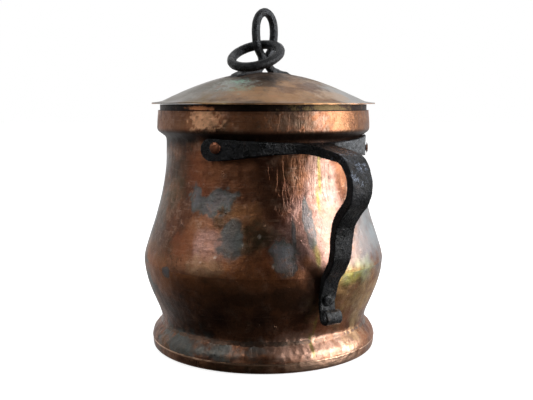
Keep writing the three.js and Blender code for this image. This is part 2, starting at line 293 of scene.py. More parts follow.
def body_relief(turn, height):
    """How far the hammered skin of the body lies inside its outline, in millimetres."""
    swell = waves(turn, height, 18, 26, SEED) + 1
    swell += 0.5 * (waves(turn, height, 44, 12, SEED + 1) + 1)
    dish = hammered(turn, height, 76, 7, SEED + 2)
    small = hammered(turn, height, 104, 4.6, SEED + 3)
    foot = band(height, *FOOT_BAND)
    collar = ramp(height, *COLLAR_RISE)
    shoulder = band(height, *SHOULDER_BAND)
    wrinkled = wrinkling(turn, height)
    folds = creases(turn, height, 230, 17, SEED + 4)
    folds = folds + 0.6 * creases(turn, height, 150, 9, SEED + 6)
    depth = SWELL_DEPTH * swell + DISH_DEPTH * dish * (1 - foot) + FOOT_DEPTH * foot * small
    raised = FOLD_DEPTH + SHOULDER_FOLD * wrinkled * shoulder + COLLAR_FOLD * wrinkled * collar
    return depth + folds * raised


def dome_relief(turn, radius):
    """How far the skin of the dome lies under its outline, in millimetres."""
    swell = waves(turn, radius, 14, 20, SEED + 20) + 1
    ripple = waves(turn, radius, 40, 9, SEED + 21) + 1
    dish = hammered(turn, radius, 60, 8, SEED + 22)
    return (DOME_SWELL * swell + DOME_RIPPLE * ripple + DOME_DISH * dish) * ramp(radius, 2, 14)


# ---- colours ----

COPPER_WARM = (0.38, 0.165, 0.085)
COPPER_DEEP = (0.15, 0.06, 0.035)
COPPER_PALE = (0.58, 0.36, 0.25)
# Near black: soot, cracks and specks, and also painted shade, painted shadow and a painted dark
# reflection on the body and on the lid's skirt.
SOOT_AND_SHADE = (0.018, 0.009, 0.005)
SLATE = (0.165, 0.185, 0.2)
TEAL = (0.085, 0.12, 0.1)
OLIVE = (0.36, 0.33, 0.08)
ROSE = (0.6, 0.36, 0.31)
MOSS = (0.1, 0.08, 0.045)
BROWN = (0.12, 0.055, 0.03)
RUST = (0.36, 0.12, 0.055)
ORANGE = (0.52, 0.23, 0.09)
TAN = (0.6, 0.38, 0.22)
ASH = (0.17, 0.15, 0.125)
# Pale haze, and the painted sheen of the bright room at the sides of the body.
HAZE_AND_SHEEN = (0.42, 0.475, 0.505)
GLINT = (0.95, 0.82, 0.7)
PALE_SLATE = (0.27, 0.295, 0.31)
# Painted shade in the bottoms of the wrinkles.
CREASE_SHADE = (0.08, 0.045, 0.03)
LID_DIRT = (0.06, 0.042, 0.032)
LID_OLIVE = (0.26, 0.23, 0.11)
LID_EDGE = (0.6, 0.3, 0.15)
PAN_EDGE = (0.85, 0.52, 0.34)
IRON_BLACK = (0.006, 0.006, 0.006)
IRON_GREY = (0.018, 0.018, 0.02)
IRON_SCALE = (0.05, 0.056, 0.07)
IRON_ARM_SHEEN = (0.14, 0.148, 0.16)
IRON_SCROLL = (0.13, 0.132, 0.135)
IRON_BULGE_HIGHLIGHT = (0.3, 0.35, 0.45)
IRON_RING_SHEEN = (0.05, 0.055, 0.063)
IRON_RUST = (0.07, 0.04, 0.025)
PAPER = (0.7, 0.7, 0.7)
WHITE = (1, 1, 1)


# ---- the body's tarnish, stains and painted light and shade, laid over its points ----

MEAN_RADIUS = 86  # at which degrees round the body are turned into millimetres
SOFTNESS = 0.4  # of a patch's edge
RAGGEDNESS = 1.5
OCTAVES = 5
OCTAVE_FADE = 0.65
FRACTAL_SPAN = 1.2
LEAST_COVER = 0.001
INSIDE_COVER = 0.7  # of the even tarnish on the inside

# Colours of the body's tarnish, each laid over the last, with three painted highlights among them.
# colour, strength, place (degrees, z), reach (along, up), raggedness, grain, some with a softness
TARNISH_AND_HIGHLIGHTS = [
    (MOSS, 0.7, (-85, 126), (16, 24), 0.4, "broad"),
    (ASH, 0.75, (-100, 100), (20, 34), 0.4, "broad"),
    ((0.09, 0.065, 0.05), 0.55, (-92, 150), (20, 16), 0.4, "broad"),
    (RUST, 0.6, (-64, 138), (18, 15), 0.5, "broad"),
    ((0.4, 0.16, 0.075), 0.8, (-42, 142), (26, 18), 0.5, "broad"),
    (ORANGE, 0.6, (-40, 115), (13, 10), 0.4, "fine"),
    (MOSS, 0.75, (-35, 99), (12, 13), 0.4, "broad"),
    (RUST, 0.7, (-70, 90), (10, 14), 0.4, "fine"),
    (ROSE, 0.6, (-55, 97), (15, 17), 0.4, "broad"),
    (RUST, 0.75, (-17, 108), (5, 9), 0.35, "fine"),
    (RUST, 0.65, (-26, 85), (8, 7), 0.4, "fine"),
    (ROSE, 0.65, (-10, 104), (17, 32), 0.4, "broad"),
    # Painted highlight: paler copper where the right lamp's highlight falls.
    ((0.52, 0.34, 0.28), 0.7, (4, 128), (16, 36), 0.3, "broad"),
    (TAN, 0.6, (-54, 76), (22, 7), 0.5, "fine"),
    (RUST, 0.6, (-34, 76), (18, 8), 0.5, "fine"),
    (ROSE, 0.5, (-14, 78), (10, 6), 0.5, "fine"),
    (ORANGE, 0.5, (-95, 74), (22, 14), 0.5, "broad"),
    (BROWN, 0.5, (-88, 88), (14, 16), 0.4, "broad"),
    ((0.48, 0.18, 0.07), 0.8, (-50, 62), (60, 18), 0.5, "broad"),
    ((0.07, 0.04, 0.026), 0.7, (-66, 17), (46, 11), 0.5, "fine"),
    (RUST, 0.5, (-10, 21), (20, 8), 0.5, "fine"),
    # Painted highlight: a pale patch on the right of the foot, where the light from the right falls.
    ((0.8, 0.5, 0.38), 0.75, (-2, 18), (34, 10), 0.35, "fine"),
    (ORANGE, 0.5, (26, 46), (26, 20), 0.5, "broad"),
    ((0.66, 0.45, 0.2), 0.75, (24, 48), (28, 20), 0.5, "fine", 0.7),
    ((0.4, 0.38, 0.08), 0.8, (15, 67), (12, 5.5), 0.4, "fine", 0.7),
    ((0.34, 0.38, 0.14), 0.65, (25, 72), (12, 5), 0.4, "fine", 0.7),
    ((0.4, 0.19, 0.09), 0.6, (20, 180), (26, 9), 0.3, "broad"),
    ((0.3, 0.13, 0.06), 0.6, (-38, 180), (20, 9), 0.5, "fine"),
    ((0.34, 0.16, 0.08), 0.6, (-80, 180), (22, 9), 0.4, "fine"),
    ((0.17, 0.12, 0.085), 0.7, (-13, 181), (20, 9), 0.6, "speck"),
    ((0.55, 0.33, 0.24), 0.3, (-1, 180), (4, 9), 0.6, "speck"),
    # A polished patch on the collar with a painted highlight on it, bright orange.
    ((1.0, 0.54, 0.3), 0.8, (-59, 181), (12, 8.5), 0.4, "speck", 0.25),
    (MOSS, 0.6, (120, 120), (30, 30), 0.5, "broad"),
    (RUST, 0.6, (150, 84), (26, 20), 0.5, "broad"),
    (ROSE, 0.5, (185, 108), (26, 24), 0.5, "broad"),
    (ASH, 0.6, (80, 96), (24, 26), 0.5, "broad"),
    (BROWN, 0.6, (165, 142), (30, 16), 0.5, "broad"),
    (TAN, 0.5, (120, 180), (26, 8), 0.4, "fine"),
]

# Olive run-marks by the handle and at the back: place, reach.
OLIVE_STRENGTH = 0.8
OLIVE_RUNS = [
    ((-5.5, 92), (1.6, 5)),
    ((-4.5, 84), (2.3, 8)),
    ((2, 142), (1.5, 16)),
    ((0, 124), (1.6, 9)),
    ((-3, 32), (1.2, 8)),
    ((-5, 18), (1.4, 7)),
    ((172, 78), (2.6, 26)),
]

# Small bright nicks where the tarnish is knocked off, each with a painted glint: place.
NICK_STRENGTH = 0.6
NICK_REACH = (0.9, 1.1)
NICKS = [(-51, 85), (-39, 95), (-31, 100), (-25, 80), (-18, 79), (-58, 81)]

# Slate-blue fire stain: strength, place, reach, raggedness, grain.
STAIN_SOFTNESS = 0.65
FIRE_STAIN = [
    (0.85, (-55, 121), (14, 8), 0.55, "fine"),
    (0.9, (-66, 124), (6, 7), 0.5, "fine"),
    (0.5, (-45, 99), (7, 13), 0.5, "fine"),
    (1.0, (-19, 89), (7, 8), 0.5, "fine"),
    (0.9, (-15, 101), (1.6, 9), 0.25, "fine"),
    (0.8, (-6, 103), (3, 10), 0.5, "fine"),
    (0.7, (-8, 115), (2, 10), 0.5, "fine"),
    (1.0, (-78, 70), (3, 3), 0.4, "fine"),
    (0.8, (150, 118), (14, 11), 0.6, "fine"),
    (0.8, (100, 90), (12, 15), 0.5, "broad"),
    (0.4, (-76, 15), (28, 9), 0.5, "fine"),
    (0.38, (-46, 16), (22, 7), 0.5, "fine"),
    (0.5, (-100, 60), (10, 14), 0.5, "fine"),
]

# Soot, with a painted dark reflection in it low on the belly, and dirt with painted shade in the
# corner under the collar: the heights where each starts and ends, with how far its edge wavers up and
# down.
SOOT_AND_SHADE_START = (16, 34)
SOOT_AND_SHADE_END = (56, 80)
UNDER_COLLAR = (156, 168)
COLLAR_CORNER = (170.5, 174.5)
LEVEL_WAVER = 5

# Thicker soot under the belly, with a painted shadow beside the lower end of the handle, and the
# patch by the handle that stays clear of it: place, reach.
BAND_STRENGTH = 0.9
SOOT_AND_SHADE_BANDS = [((-40, 56), (26, 8)), ((-16, 55), (22, 9)), ((-5, 63), (8, 12)), ((140, 50), (60, 12))]
CLEAR_OF_SOOT_AND_SHADE = ((30, 42), (40, 46))

# Pale haze, with painted sheen: right of the handle it is haze and a painted grey reflection of the
# bright room, and the tall strip along the left edge is painted reflection only. Strength, place,
# reach, raggedness, grain, some with a softness.
HAZE_AND_SHEEN_PATCHES = [
    (1.0, (42, 98), (36, 26), 0.4, "fine", 0.8),
    (0.6, (205, 110), (30, 22), 0.5, "fine", 0.8),
    (0.6, (-118, 100), (16, 90), 0.3, "broad"),
]

# Fine wrinkles in the skin: strength, place, reach, raggedness, grain.
WRINKLES = [
    (0.6, (-9, 136), (20, 32), 0.5, "fine"),
    (0.3, (-10, 179), (28, 9), 0.6, "fine"),
]


def fractal(turn, height, size, seed):
    """Noise, mostly from -1 to 1, whose largest marks are `size` mm, with finer ones in them."""
    total = 0
    for octave in range(OCTAVES):
        cell = size / 2**octave
        around = round(TAU * MEAN_RADIUS / cell)
        total = total + OCTAVE_FADE**octave * waves(turn, height, around, cell, seed + octave)
    return total / FRACTAL_SPAN


class Skin:
    """Points on the body's outside, by turn and height, with what is laid over them."""

    def __init__(self, turn, height):
        self.degrees = np.degrees(turn)
        self.height = height
        self.grains = {
            "broad": fractal(turn, height, 30, SEED + 40),
            "fine": fractal(turn, height, 13, SEED + 50),
            "level": fractal(turn, height, 24, SEED + 60),
            "speck": fractal(turn, height, 3, SEED + 70),
        }

    def patch(self, place, reach, ragged, grain, soft=SOFTNESS):
        """1 near a place and 0 beyond reach, with a ragged edge."""
        along = (self.degrees - place[0] + 180) % 360 - 180
        along = np.radians(along) * MEAN_RADIUS
        distance = np.hypot(along / reach[0], (self.height - place[1]) / reach[1])
        distance = distance + ragged * RAGGEDNESS * self.grains[grain]
        return 1 - ramp(distance, 1 - soft, 1 + soft)

    def most(self, patches, ragged, grain, soft=SOFTNESS):
        """The strongest of patches that share one edge and one grain."""
        return np.max([self.patch(place, reach, ragged, grain, soft) for place, reach in patches], 0)

    def strongest(self, rows, *soft):
        """The strongest of patches that have their own strength, edge and grain."""
        return np.max([strength * self.patch(*where, *soft) for strength, *where in rows], 0)

    def tarnish_and_highlights(self):
        """Colour of the tarnish over bare copper, with its painted highlights and glints, and how far
        it covers as a fourth number.
        """
        colour = np.zeros((*self.height.shape, 3))
        cover = np.zeros(self.height.shape)
        layers = [(new, strength * self.patch(*where)) for new, strength, *where in TARNISH_AND_HIGHLIGHTS]
        layers.append((OLIVE, OLIVE_STRENGTH * self.most(OLIVE_RUNS, 0.2, "fine", 0.5)))
        nicks = [(place, NICK_REACH) for place in NICKS]
        layers.append((GLINT, NICK_STRENGTH * self.most(nicks, 0.5, "speck", 0.3)))
        for new, strength in layers:
            colour = colour * (1 - strength[..., None]) + np.array(new) * strength[..., None]
            cover = cover + strength * (1 - cover)
        colour = colour / np.maximum(cover, LEAST_COVER)[..., None]
        return np.concatenate([colour, cover[..., None]], -1)

    def soot_and_shade(self):
        """Soot from the foot to the belly, with a painted dark reflection low on the belly and a
        painted shadow beside the handle, and dirt with painted shade in the corner under the collar.
        """
        level = self.height + LEVEL_WAVER * self.grains["level"]
        low = ramp(level, *SOOT_AND_SHADE_START) * (1 - ramp(level, *SOOT_AND_SHADE_END))
        soot_and_shade = low * (0.58 + 0.3 * self.grains["broad"])
        soot_and_shade = np.maximum(soot_and_shade, BAND_STRENGTH * self.most(SOOT_AND_SHADE_BANDS, 0.35, "broad"))
        soot_and_shade = soot_and_shade * (1 - self.patch(*CLEAR_OF_SOOT_AND_SHADE, 0.3, "broad"))
        dirt_and_shade_under_collar = ramp(level, *UNDER_COLLAR) * (1 - ramp(self.height, *COLLAR_CORNER))
        return np.maximum(soot_and_shade, dirt_and_shade_under_collar)

    def haze_and_sheen(self):
        """Pale haze with painted sheen, which thins and thickens with the fine grain."""
        return self.strongest(HAZE_AND_SHEEN_PATCHES) * (0.8 + 0.35 * self.grains["fine"])

    def stains_shade_and_sheen(self):
        """How much slate-blue stain, soot with painted shade, pale haze with painted sheen, and
        wrinkling there is.
        """
        slate = self.strongest(FIRE_STAIN, STAIN_SOFTNESS)
        layers = [slate, self.soot_and_shade(), self.haze_and_sheen(), self.strongest(WRINKLES)]
        return np.clip(np.stack(layers, -1), 0, 1)


def lay(piece, name, values):
    layer = piece.data.color_attributes.new(name, "FLOAT_COLOR", "POINT")
    layer.data.foreach_set("color", values.astype(np.float32).ravel())


# ---- meshes ----

def mesh_from(name, vertices, faces):
    mesh = bpy.data.meshes.new(name)
    mesh.from_pydata(vertices, [], faces)
    mesh.validate()
    mesh.update()
    piece = bpy.data.objects.new(name, mesh)
    bpy.context.scene.collection.objects.link(piece)
    mesh.polygons.foreach_set("use_smooth", [True] * len(mesh.polygons))
    mesh.set_sharp_from_angle(angle=math.radians(SHARP_ANGLE))
    return piece


def ring_grid(grid, close_rows):
    """Quads over a grid of vertex numbers that closes on itself along each row."""
    upper = np.roll(grid, -1, axis=0) if close_rows else grid[1:]
    lower = grid if close_rows else grid[:-1]
    quads = np.stack(
        [lower, np.roll(lower, -1, axis=1), np.roll(upper, -1, axis=1), upper], axis=-1
    )
    return quads.reshape(-1, 4)


def turned(name, outline, columns, relief):
    """A closed (radius, z) outline turned about Z. relief gives each point's own (radius, z)."""
    turn = np.arange(columns) / columns * TAU
    radius = np.repeat(outline[:, :1], columns, axis=1)
    height = np.repeat(outline[:, 1:], columns, axis=1)
    radius, height = relief(turn[None, :].repeat(len(outline), 0), radius, height)
    points = np.stack([radius * np.cos(turn), radius * np.sin(turn), height], axis=-1) * MM
    grid = np.arange(len(outline) * columns).reshape(len(outline), columns)
    return mesh_from(name, points.reshape(-1, 3).tolist(), ring_grid(grid, True).tolist())


def inside_wall(outer, normal):
    """The inside of the sheet from the mouth down, with only some of the outline's points."""
    inner = (outer - normal * SHEET)[::-1]
    near_skirt = (inner[:, 1] > BEND_LOW) & (inner[:, 1] < BEND_HIGH)
    step = np.where(near_skirt, BEND_STEP, PLAIN_STEP)
    inner = inner[np.arange(len(inner)) % step == 0]
    return inner[inner[:, 1] > HEM_TOP]


def lay_skin(piece, outline, count):
    """Lays the tarnish, stains and painted light and shade over a body piece. Its first `count` rows
    are its outside.
    """
    turn = (np.arange(BODY_COLUMNS) / BODY_COLUMNS * TAU)[None, :].repeat(len(outline), 0)
    skin = Skin(turn, outline[:, 1:].repeat(BODY_COLUMNS, 1))
    tarnish_and_highlights, stains_shade_and_sheen = skin.tarnish_and_highlights(), skin.stains_shade_and_sheen()
    tarnish_and_highlights[count:] = (*ASH, INSIDE_COVER)
    stains_shade_and_sheen[count:] = 0
    lay(piece, "tarnish_and_highlights", tarnish_and_highlights)
    lay(piece, "stains_shade_and_sheen", stains_shade_and_sheen)


def body_half(name, keep, seam_row, seam_z, tail):
    """The copper above or below the seam: its hammered outside, its plain inside and its edge."""
    outer = body_outline()
    normal = square_to(outer)
    inner = inside_wall(outer, normal)
    kept = keep(outer[:, 1])
    outer, normal = outer[kept], normal[kept]
    outer[seam_row] = (BELLY, seam_z)
    normal[seam_row] = (1, 0)
    count = len(outer)
    outline = np.vstack([outer, inner[keep(inner[:, 1])], *tail])

    def relief(turn, radius, height):
        depth = body_relief(turn[:count], height[:count])
        fade = ramp(outer[:, 1], PAN_TOP, PAN_TOP + FOOT_FADE) * 0.75 + 0.25
        fade *= 1 - ramp(outer[:, 1], MOUTH_Z - MOUTH_FADE, MOUTH_Z) * 0.6
        depth = depth * fade[:, None]
        radius[:count] -= normal[:, :1] * depth
        height[:count] -= normal[:, 1:] * depth
        return radius, height

    piece = turned(name, outline, BODY_COLUMNS, relief)
    lay_skin(piece, outline, count)
    return piece


def make_lower():
    foot = PAN_RADIUS - SHEET - PAN_GAP
    hem = [(foot - 1.1, 8.6), (foot - 1.1, 5.7), (foot - 2, 3.7), (foot - 4.6, 2.5)]
    edge = [(foot - 4.3, 1.4), (foot - 1.1, 2.6), (foot, 5.4), (foot, PAN_TOP + LIP_RISE)]
    below = SEAM_Z - SEAM_GAP
    return body_half("body_lower_copper", lambda z: z < SEAM_Z, -1, below, [hem, edge])


def make_upper():
    above = SEAM_Z + SEAM_GAP
    return body_half("body_upper_copper", lambda z: z >= SEAM_Z, 0, above, [])


def make_pan():
    corner = PAN_RADIUS - PAN_FLAT
    bevel = PAN_TOP - PAN_BEVEL
    inside = PAN_RADIUS - SHEET
    flat = evenly([(AXIS_RADIUS, 0), (PAN_FLAT, 0)], 3)
    side = bezier((PAN_FLAT, 0), (PAN_RADIUS - 0.9, 0), (PAN_RADIUS, 1.6), (PAN_RADIUS, corner), 9)
    wall = evenly([(PAN_RADIUS, corner), (PAN_RADIUS, bevel)], 0.6)
    edge = [(PAN_RADIUS - 0.3, PAN_TOP), (inside + 0.3, PAN_TOP), (inside, bevel)]
    hollow = bezier((inside, corner), (inside, 2.5), (inside - 1.5, SHEET), (83.8, SHEET), 7)
    bottom = evenly([(80, SHEET), (AXIS_RADIUS, SHEET)], 4)
    outline = np.vstack([flat, side[1:], wall[1:], edge, hollow, bottom])

    def relief(turn, radius, height):
        rim = ramp(radius, PAN_RADIUS - 0.4, PAN_RADIUS - 0.05)
        wave = waves(turn, height, 46, 5, SEED + 30) + 1
        dent = hammered(turn, height, 90, 5, SEED + 31)
        radius = radius - rim * (0.12 * wave + 0.2 * dent)
        return radius, height

    return turned("base_pan_copper", outline, PAN_COLUMNS, relief)


def make_dome():
    outer = dome_outline()
    normal = -square_to(outer)
    inner = outer - normal * LID_SHEET
    inner[:, 0] = np.maximum(inner[:, 0], AXIS_RADIUS)
    inner[0, 0] = BRIM_RADIUS - 0.25
    outline = np.vstack([outer[::-1], inner[::2]])
    flat_radius = outline[:, 0][:, None]

    def relief(turn, radius, height):
        depth = dome_relief(turn, radius)
        wave = waves(turn, radius, 11, BRIM_WAVE_SIZE, SEED + 25)
        wave = wave + 0.5 * waves(turn, radius, 27, BRIM_WAVE_SIZE, SEED + 26)
        brim = ramp(flat_radius, 80, BRIM_RADIUS)
        height = height - depth + brim * BRIM_WAVE_HEIGHT * wave
        nicks = waves(turn, radius, 70, BRIM_WAVE_SIZE, SEED + 27) + 1
        radius = radius - BRIM_NICK_DEPTH * nicks * ramp(flat_radius, BRIM_RADIUS - 2, BRIM_RADIUS)
        return radius, height

    return turned("lid_dome_copper", outline, LID_COLUMNS, relief)


def make_skirt():
    inside = SKIRT_RADIUS - SHEET
    outer = evenly([(SKIRT_RADIUS, SKIRT_LOW), (SKIRT_RADIUS, SKIRT_HIGH)], 1)
    inner = evenly([(inside, SKIRT_HIGH), (inside, SKIRT_LOW)], 2)
    outline = np.vstack([outer, inner])

    def relief(turn, radius, height):
        wave = waves(turn, height, 34, 9, SEED + 35) + 1
        fine = waves(turn, height, 130, 5, SEED + 36) + 1
        return radius - 0.12 * wave - 0.06 * fine, height

    return turned("lid_skirt_copper", outline, SKIRT_COLUMNS, relief)


# How close together the dents and pits of the forged skin lie, per millimetre.
BROAD_DENTS = 0.14
CLOSE_DENTS = 0.33
PITS = 0.9
PIT_SHIFT = Vector((7, 3, 5))
DENT_BASE = 0.8  # keeps most of the dents' noise above 0, so that points move inwards
PIT_SHARPNESS = 1.5


def forged(name, node, voxel, rounding, dents, pits):
    """An iron piece or a rivet: the CAD node's own shape, with rounded edges and a forged skin."""
    piece = bpy.data.objects.new(name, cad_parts[node].data.copy())
    bpy.context.scene.collection.objects.link(piece)
    remesh = piece.modifiers.new("remesh", "REMESH")
    remesh.mode = "VOXEL"
    remesh.voxel_size = voxel * MM
    soften = piece.modifiers.new("soften", "SMOOTH")
    soften.factor = 0.5
    soften.iterations = rounding
    evaluated = piece.evaluated_get(bpy.context.evaluated_depsgraph_get())
    piece.data = bpy.data.meshes.new_from_object(evaluated)
    piece.modifiers.clear()
    piece.data.materials.clear()
    forge(piece, dents, pits)
    return piece


def forge(piece, dents, pits):
    """Moves each point in along its normal: broad hammer dents and small scale pits."""
    mesh = piece.data
    mesh.update()
    moved = np.empty(len(mesh.vertices) * 3)
    for i, vertex in enumerate(mesh.vertices):
        p = vertex.co / MM
        broad = noise.noise(p * BROAD_DENTS) + 0.6 * noise.noise(p * CLOSE_DENTS)
        fine = max(0.0, noise.noise(p * PITS + PIT_SHIFT)) ** PIT_SHARPNESS
        depth = dents * (broad + DENT_BASE) + pits * fine
        moved[i * 3 : i * 3 + 3] = vertex.co - vertex.normal * max(depth, 0) * MM
    mesh.vertices.foreach_set("co", moved)
    mesh.update()
    mesh.polygons.foreach_set("use_smooth", [True] * len(mesh.polygons))


# ---- materials ----

SPOT_RAGGEDNESS = 7
SPOT_SOFTNESS = 0.45


class Shader:
    """A material's node tree, with short calls that add a node and return its output."""

    def __init__(self, name):
        self.material = bpy.data.materials.new(name)
        self.material.use_nodes = True
        self.tree = self.material.node_tree
        self.bsdf = self.tree.nodes["Principled BSDF"]
        self.place = self.tree.nodes.new("ShaderNodeTexCoord").outputs["Object"]
        self.grains = {}

    def put(self, socket, value):
        if isinstance(value, bpy.types.NodeSocket):
            self.tree.links.new(value, socket)
        elif isinstance(value, tuple) and len(value) == 3 and socket.type == "RGBA":
            socket.default_value = (*value, 1)
        else:
            socket.default_value = value

    def add(self, kind, output, settings=None, **inputs):
        node = self.tree.nodes.new(kind)
        for key, value in (settings or {}).items():
            setattr(node, key, value)
        for key, value in inputs.items():
            self.put(node.inputs[key.replace("_", " ")], value)
        return node.outputs[output]

    def stretched(self, x, y, z):
        return self.add("ShaderNodeMapping", "Vector", Vector=self.place, Scale=(x, y, z))

    def noise(self, scale, detail=4, roughness=0.55, vector=None):
        return self.add(
            "ShaderNodeTexNoise",
            "Fac",
            Vector=vector or self.place,
            Scale=scale,
            Detail=detail,
            Roughness=roughness,
        )

    def math(self, operation, a, b=0.0):
        node = self.tree.nodes.new("ShaderNodeMath")
        node.operation = operation
        self.put(node.inputs[0], a)
        self.put(node.inputs[1], b)
        return node.outputs[0]

    def times(self, a, b):
        return self.math("MULTIPLY", a, b)

    def from_middle(self, value):
        """How far a noise lies from its middle value, either way."""
        return self.math("ABSOLUTE", self.math("SUBTRACT", value, 0.5))

    def fit(self, value, low, high, out_low=0.0, out_high=1.0):
        return self.add(
            "ShaderNodeMapRange",
            "Result",
            {"interpolation_type": "SMOOTHSTEP"},
            Value=value,
            From_Min=low,
            From_Max=high,
            To_Min=out_low,
            To_Max=out_high,
        )

    def mix(self, factor, a, b):
        node = self.tree.nodes.new("ShaderNodeMix")
        node.data_type = "RGBA"
        self.put(node.inputs[0], factor)
        self.put(node.inputs[6], a)
        self.put(node.inputs[7], b)
        return node.outputs[2]

    def blend(self, factor, a, b):
        """a where factor is 0 and b where it is 1, for plain numbers."""
        node = self.tree.nodes.new("ShaderNodeMix")
        self.put(node.inputs[0], factor)
        self.put(node.inputs[2], a)
        self.put(node.inputs[3], b)
        return node.outputs[0]

    def layer(self, name):
        """A colour laid over the points: its colour and its fourth number."""
        node = self.tree.nodes.new("ShaderNodeVertexColor")
        node.layer_name = name
        return node.outputs["Color"], node.outputs["Alpha"]

    def height(self):
        return self.add("ShaderNodeSeparateXYZ", "Z", Vector=self.place)

    def grain(self, scale):
        """Noise about 0 that roughens the edges of spots, made once for each scale."""
        if scale not in self.grains:
            self.grains[scale] = self.math("SUBTRACT", self.noise(scale, 8, 0.68), 0.5)
        return self.grains[scale]

    def spot(self, point, reach, ragged, scale):
        """1 near a point (degrees, radius, z) and 0 beyond reach (across, up), ragged at its edge."""
        degrees, radius, z = point
        angle = math.radians(degrees)
        centre = Vector((radius * math.cos(angle), radius * math.sin(angle), z)) * MM
        across, up = reach[0] * MM, reach[1] * MM
        offset = self.tree.nodes.new("ShaderNodeVectorMath")
        offset.operation = "SUBTRACT"
        self.put(offset.inputs[0], self.place)
        offset.inputs[1].default_value = centre
        scaled = self.add(
            "ShaderNodeMapping",
            "Vector",
            Vector=offset.outputs["Vector"],
            Scale=(1 / across, 1 / across, 1 / up),
        )
        length = self.tree.nodes.new("ShaderNodeVectorMath")
        length.operation = "LENGTH"
        self.put(length.inputs[0], scaled)
        edge = self.times(self.grain(scale), ragged * SPOT_RAGGEDNESS)
        distance = self.math("ADD", length.outputs["Value"], edge)
        return self.fit(distance, 1 + SPOT_SOFTNESS, 1 - SPOT_SOFTNESS)

    def paint(self, colour, patches):
        """Lays ragged patches over a colour: (new colour, strength, place, reach, ragged, grain)."""
        for new, strength, place, reach, ragged, grain in patches:
            patch = self.times(self.spot(place, reach, ragged, grain), strength)
            colour = self.mix(patch, colour, new)
        return colour

    def bump(self, height, distance, strength, normal=None):
        """A normal that follows height. distance is in metres, and below 0 it presses in."""
        node = self.tree.nodes.new("ShaderNodeBump")
        self.put(node.inputs["Strength"], strength)
        self.put(node.inputs["Distance"], distance)
        self.put(node.inputs["Height"], height)
        if normal:
            self.put(node.inputs["Normal"], normal)
        return node.outputs["Normal"]

    def surface(self, **inputs):
        """Sets the surface's own sockets, each from a number, a colour or a node's output."""
        for key, value in inputs.items():
            self.put(self.bsdf.inputs[key.replace("_", " ")], value)
        return self.material


def copper_skin(shader, warm, deep, pale):
    """Tarnished copper common to all the copper pieces: colour, roughness, normal."""
    cloud = shader.noise(26, 6, 0.6)
    mottle = shader.noise(95, 8, 0.7)
    streaks = shader.noise(70, 5, 0.6, shader.stretched(1, 1, 0.16))
    lines = shader.noise(330, 3, 0.6, shader.stretched(1, 1, 0.13))
    brushed = shader.noise(700, 4, 0.6, shader.stretched(0.12, 0.12, 1))
    grain = shader.noise(620, 6, 0.75)
    colour = shader.mix(shader.fit(cloud, 0.4, 0.6), deep, warm)
    colour = shader.mix(shader.fit(mottle, 0.5, 0.68, 0, 0.6), colour, pale)
    colour = shader.mix(shader.fit(streaks, 0.52, 0.68, 0, 0.6), colour, deep)
    colour = shader.mix(shader.fit(shader.noise(38, 6, 0.7), 0.54, 0.66, 0, 0.6), colour, MOSS)
    colour = shader.mix(shader.fit(shader.noise(54, 6, 0.7), 0.58, 0.68, 0, 0.6), colour, RUST)
    colour = shader.mix(shader.fit(grain, 0.5, 0.72, 0, 0.75), colour, deep)
    colour = shader.mix(shader.fit(brushed, 0.55, 0.75, 0, 0.5), colour, pale)
    crack = shader.fit(shader.from_middle(lines), 0.022, 0.004)
    broken = shader.times(crack, shader.fit(shader.noise(80, 4), 0.53, 0.66))
    colour = shader.mix(shader.times(broken, 0.75), colour, SOOT_AND_SHADE)
    colour = shader.mix(shader.fit(shader.noise(330, 5, 0.7), 0.62, 0.72, 0, 0.85), colour, SOOT_AND_SHADE)
    rough = shader.fit(shader.noise(48, 6, 0.7), 0.3, 0.7, 0.3, 0.52)
    fine = shader.bump(grain, 0.0003, 0.55)
    dents = shader.bump(shader.noise(150, 5, 0.6), 0.0012, 0.35, fine)
    turned_lines = shader.bump(brushed, 0.0002, 0.35, dents)
    nicks = shader.fit(shader.noise(190, 2), 0.7, 0.78)
    nicked = shader.bump(nicks, 0.0006, 0.7, turned_lines)
    normal = shader.bump(broken, -0.0004, 0.2, nicked)
    return colour, rough, normal


def finish_metal(shader, colour, rough, normal, metallic):
    return shader.surface(Base_Color=colour, Roughness=rough, Normal=normal, Metallic=metallic)


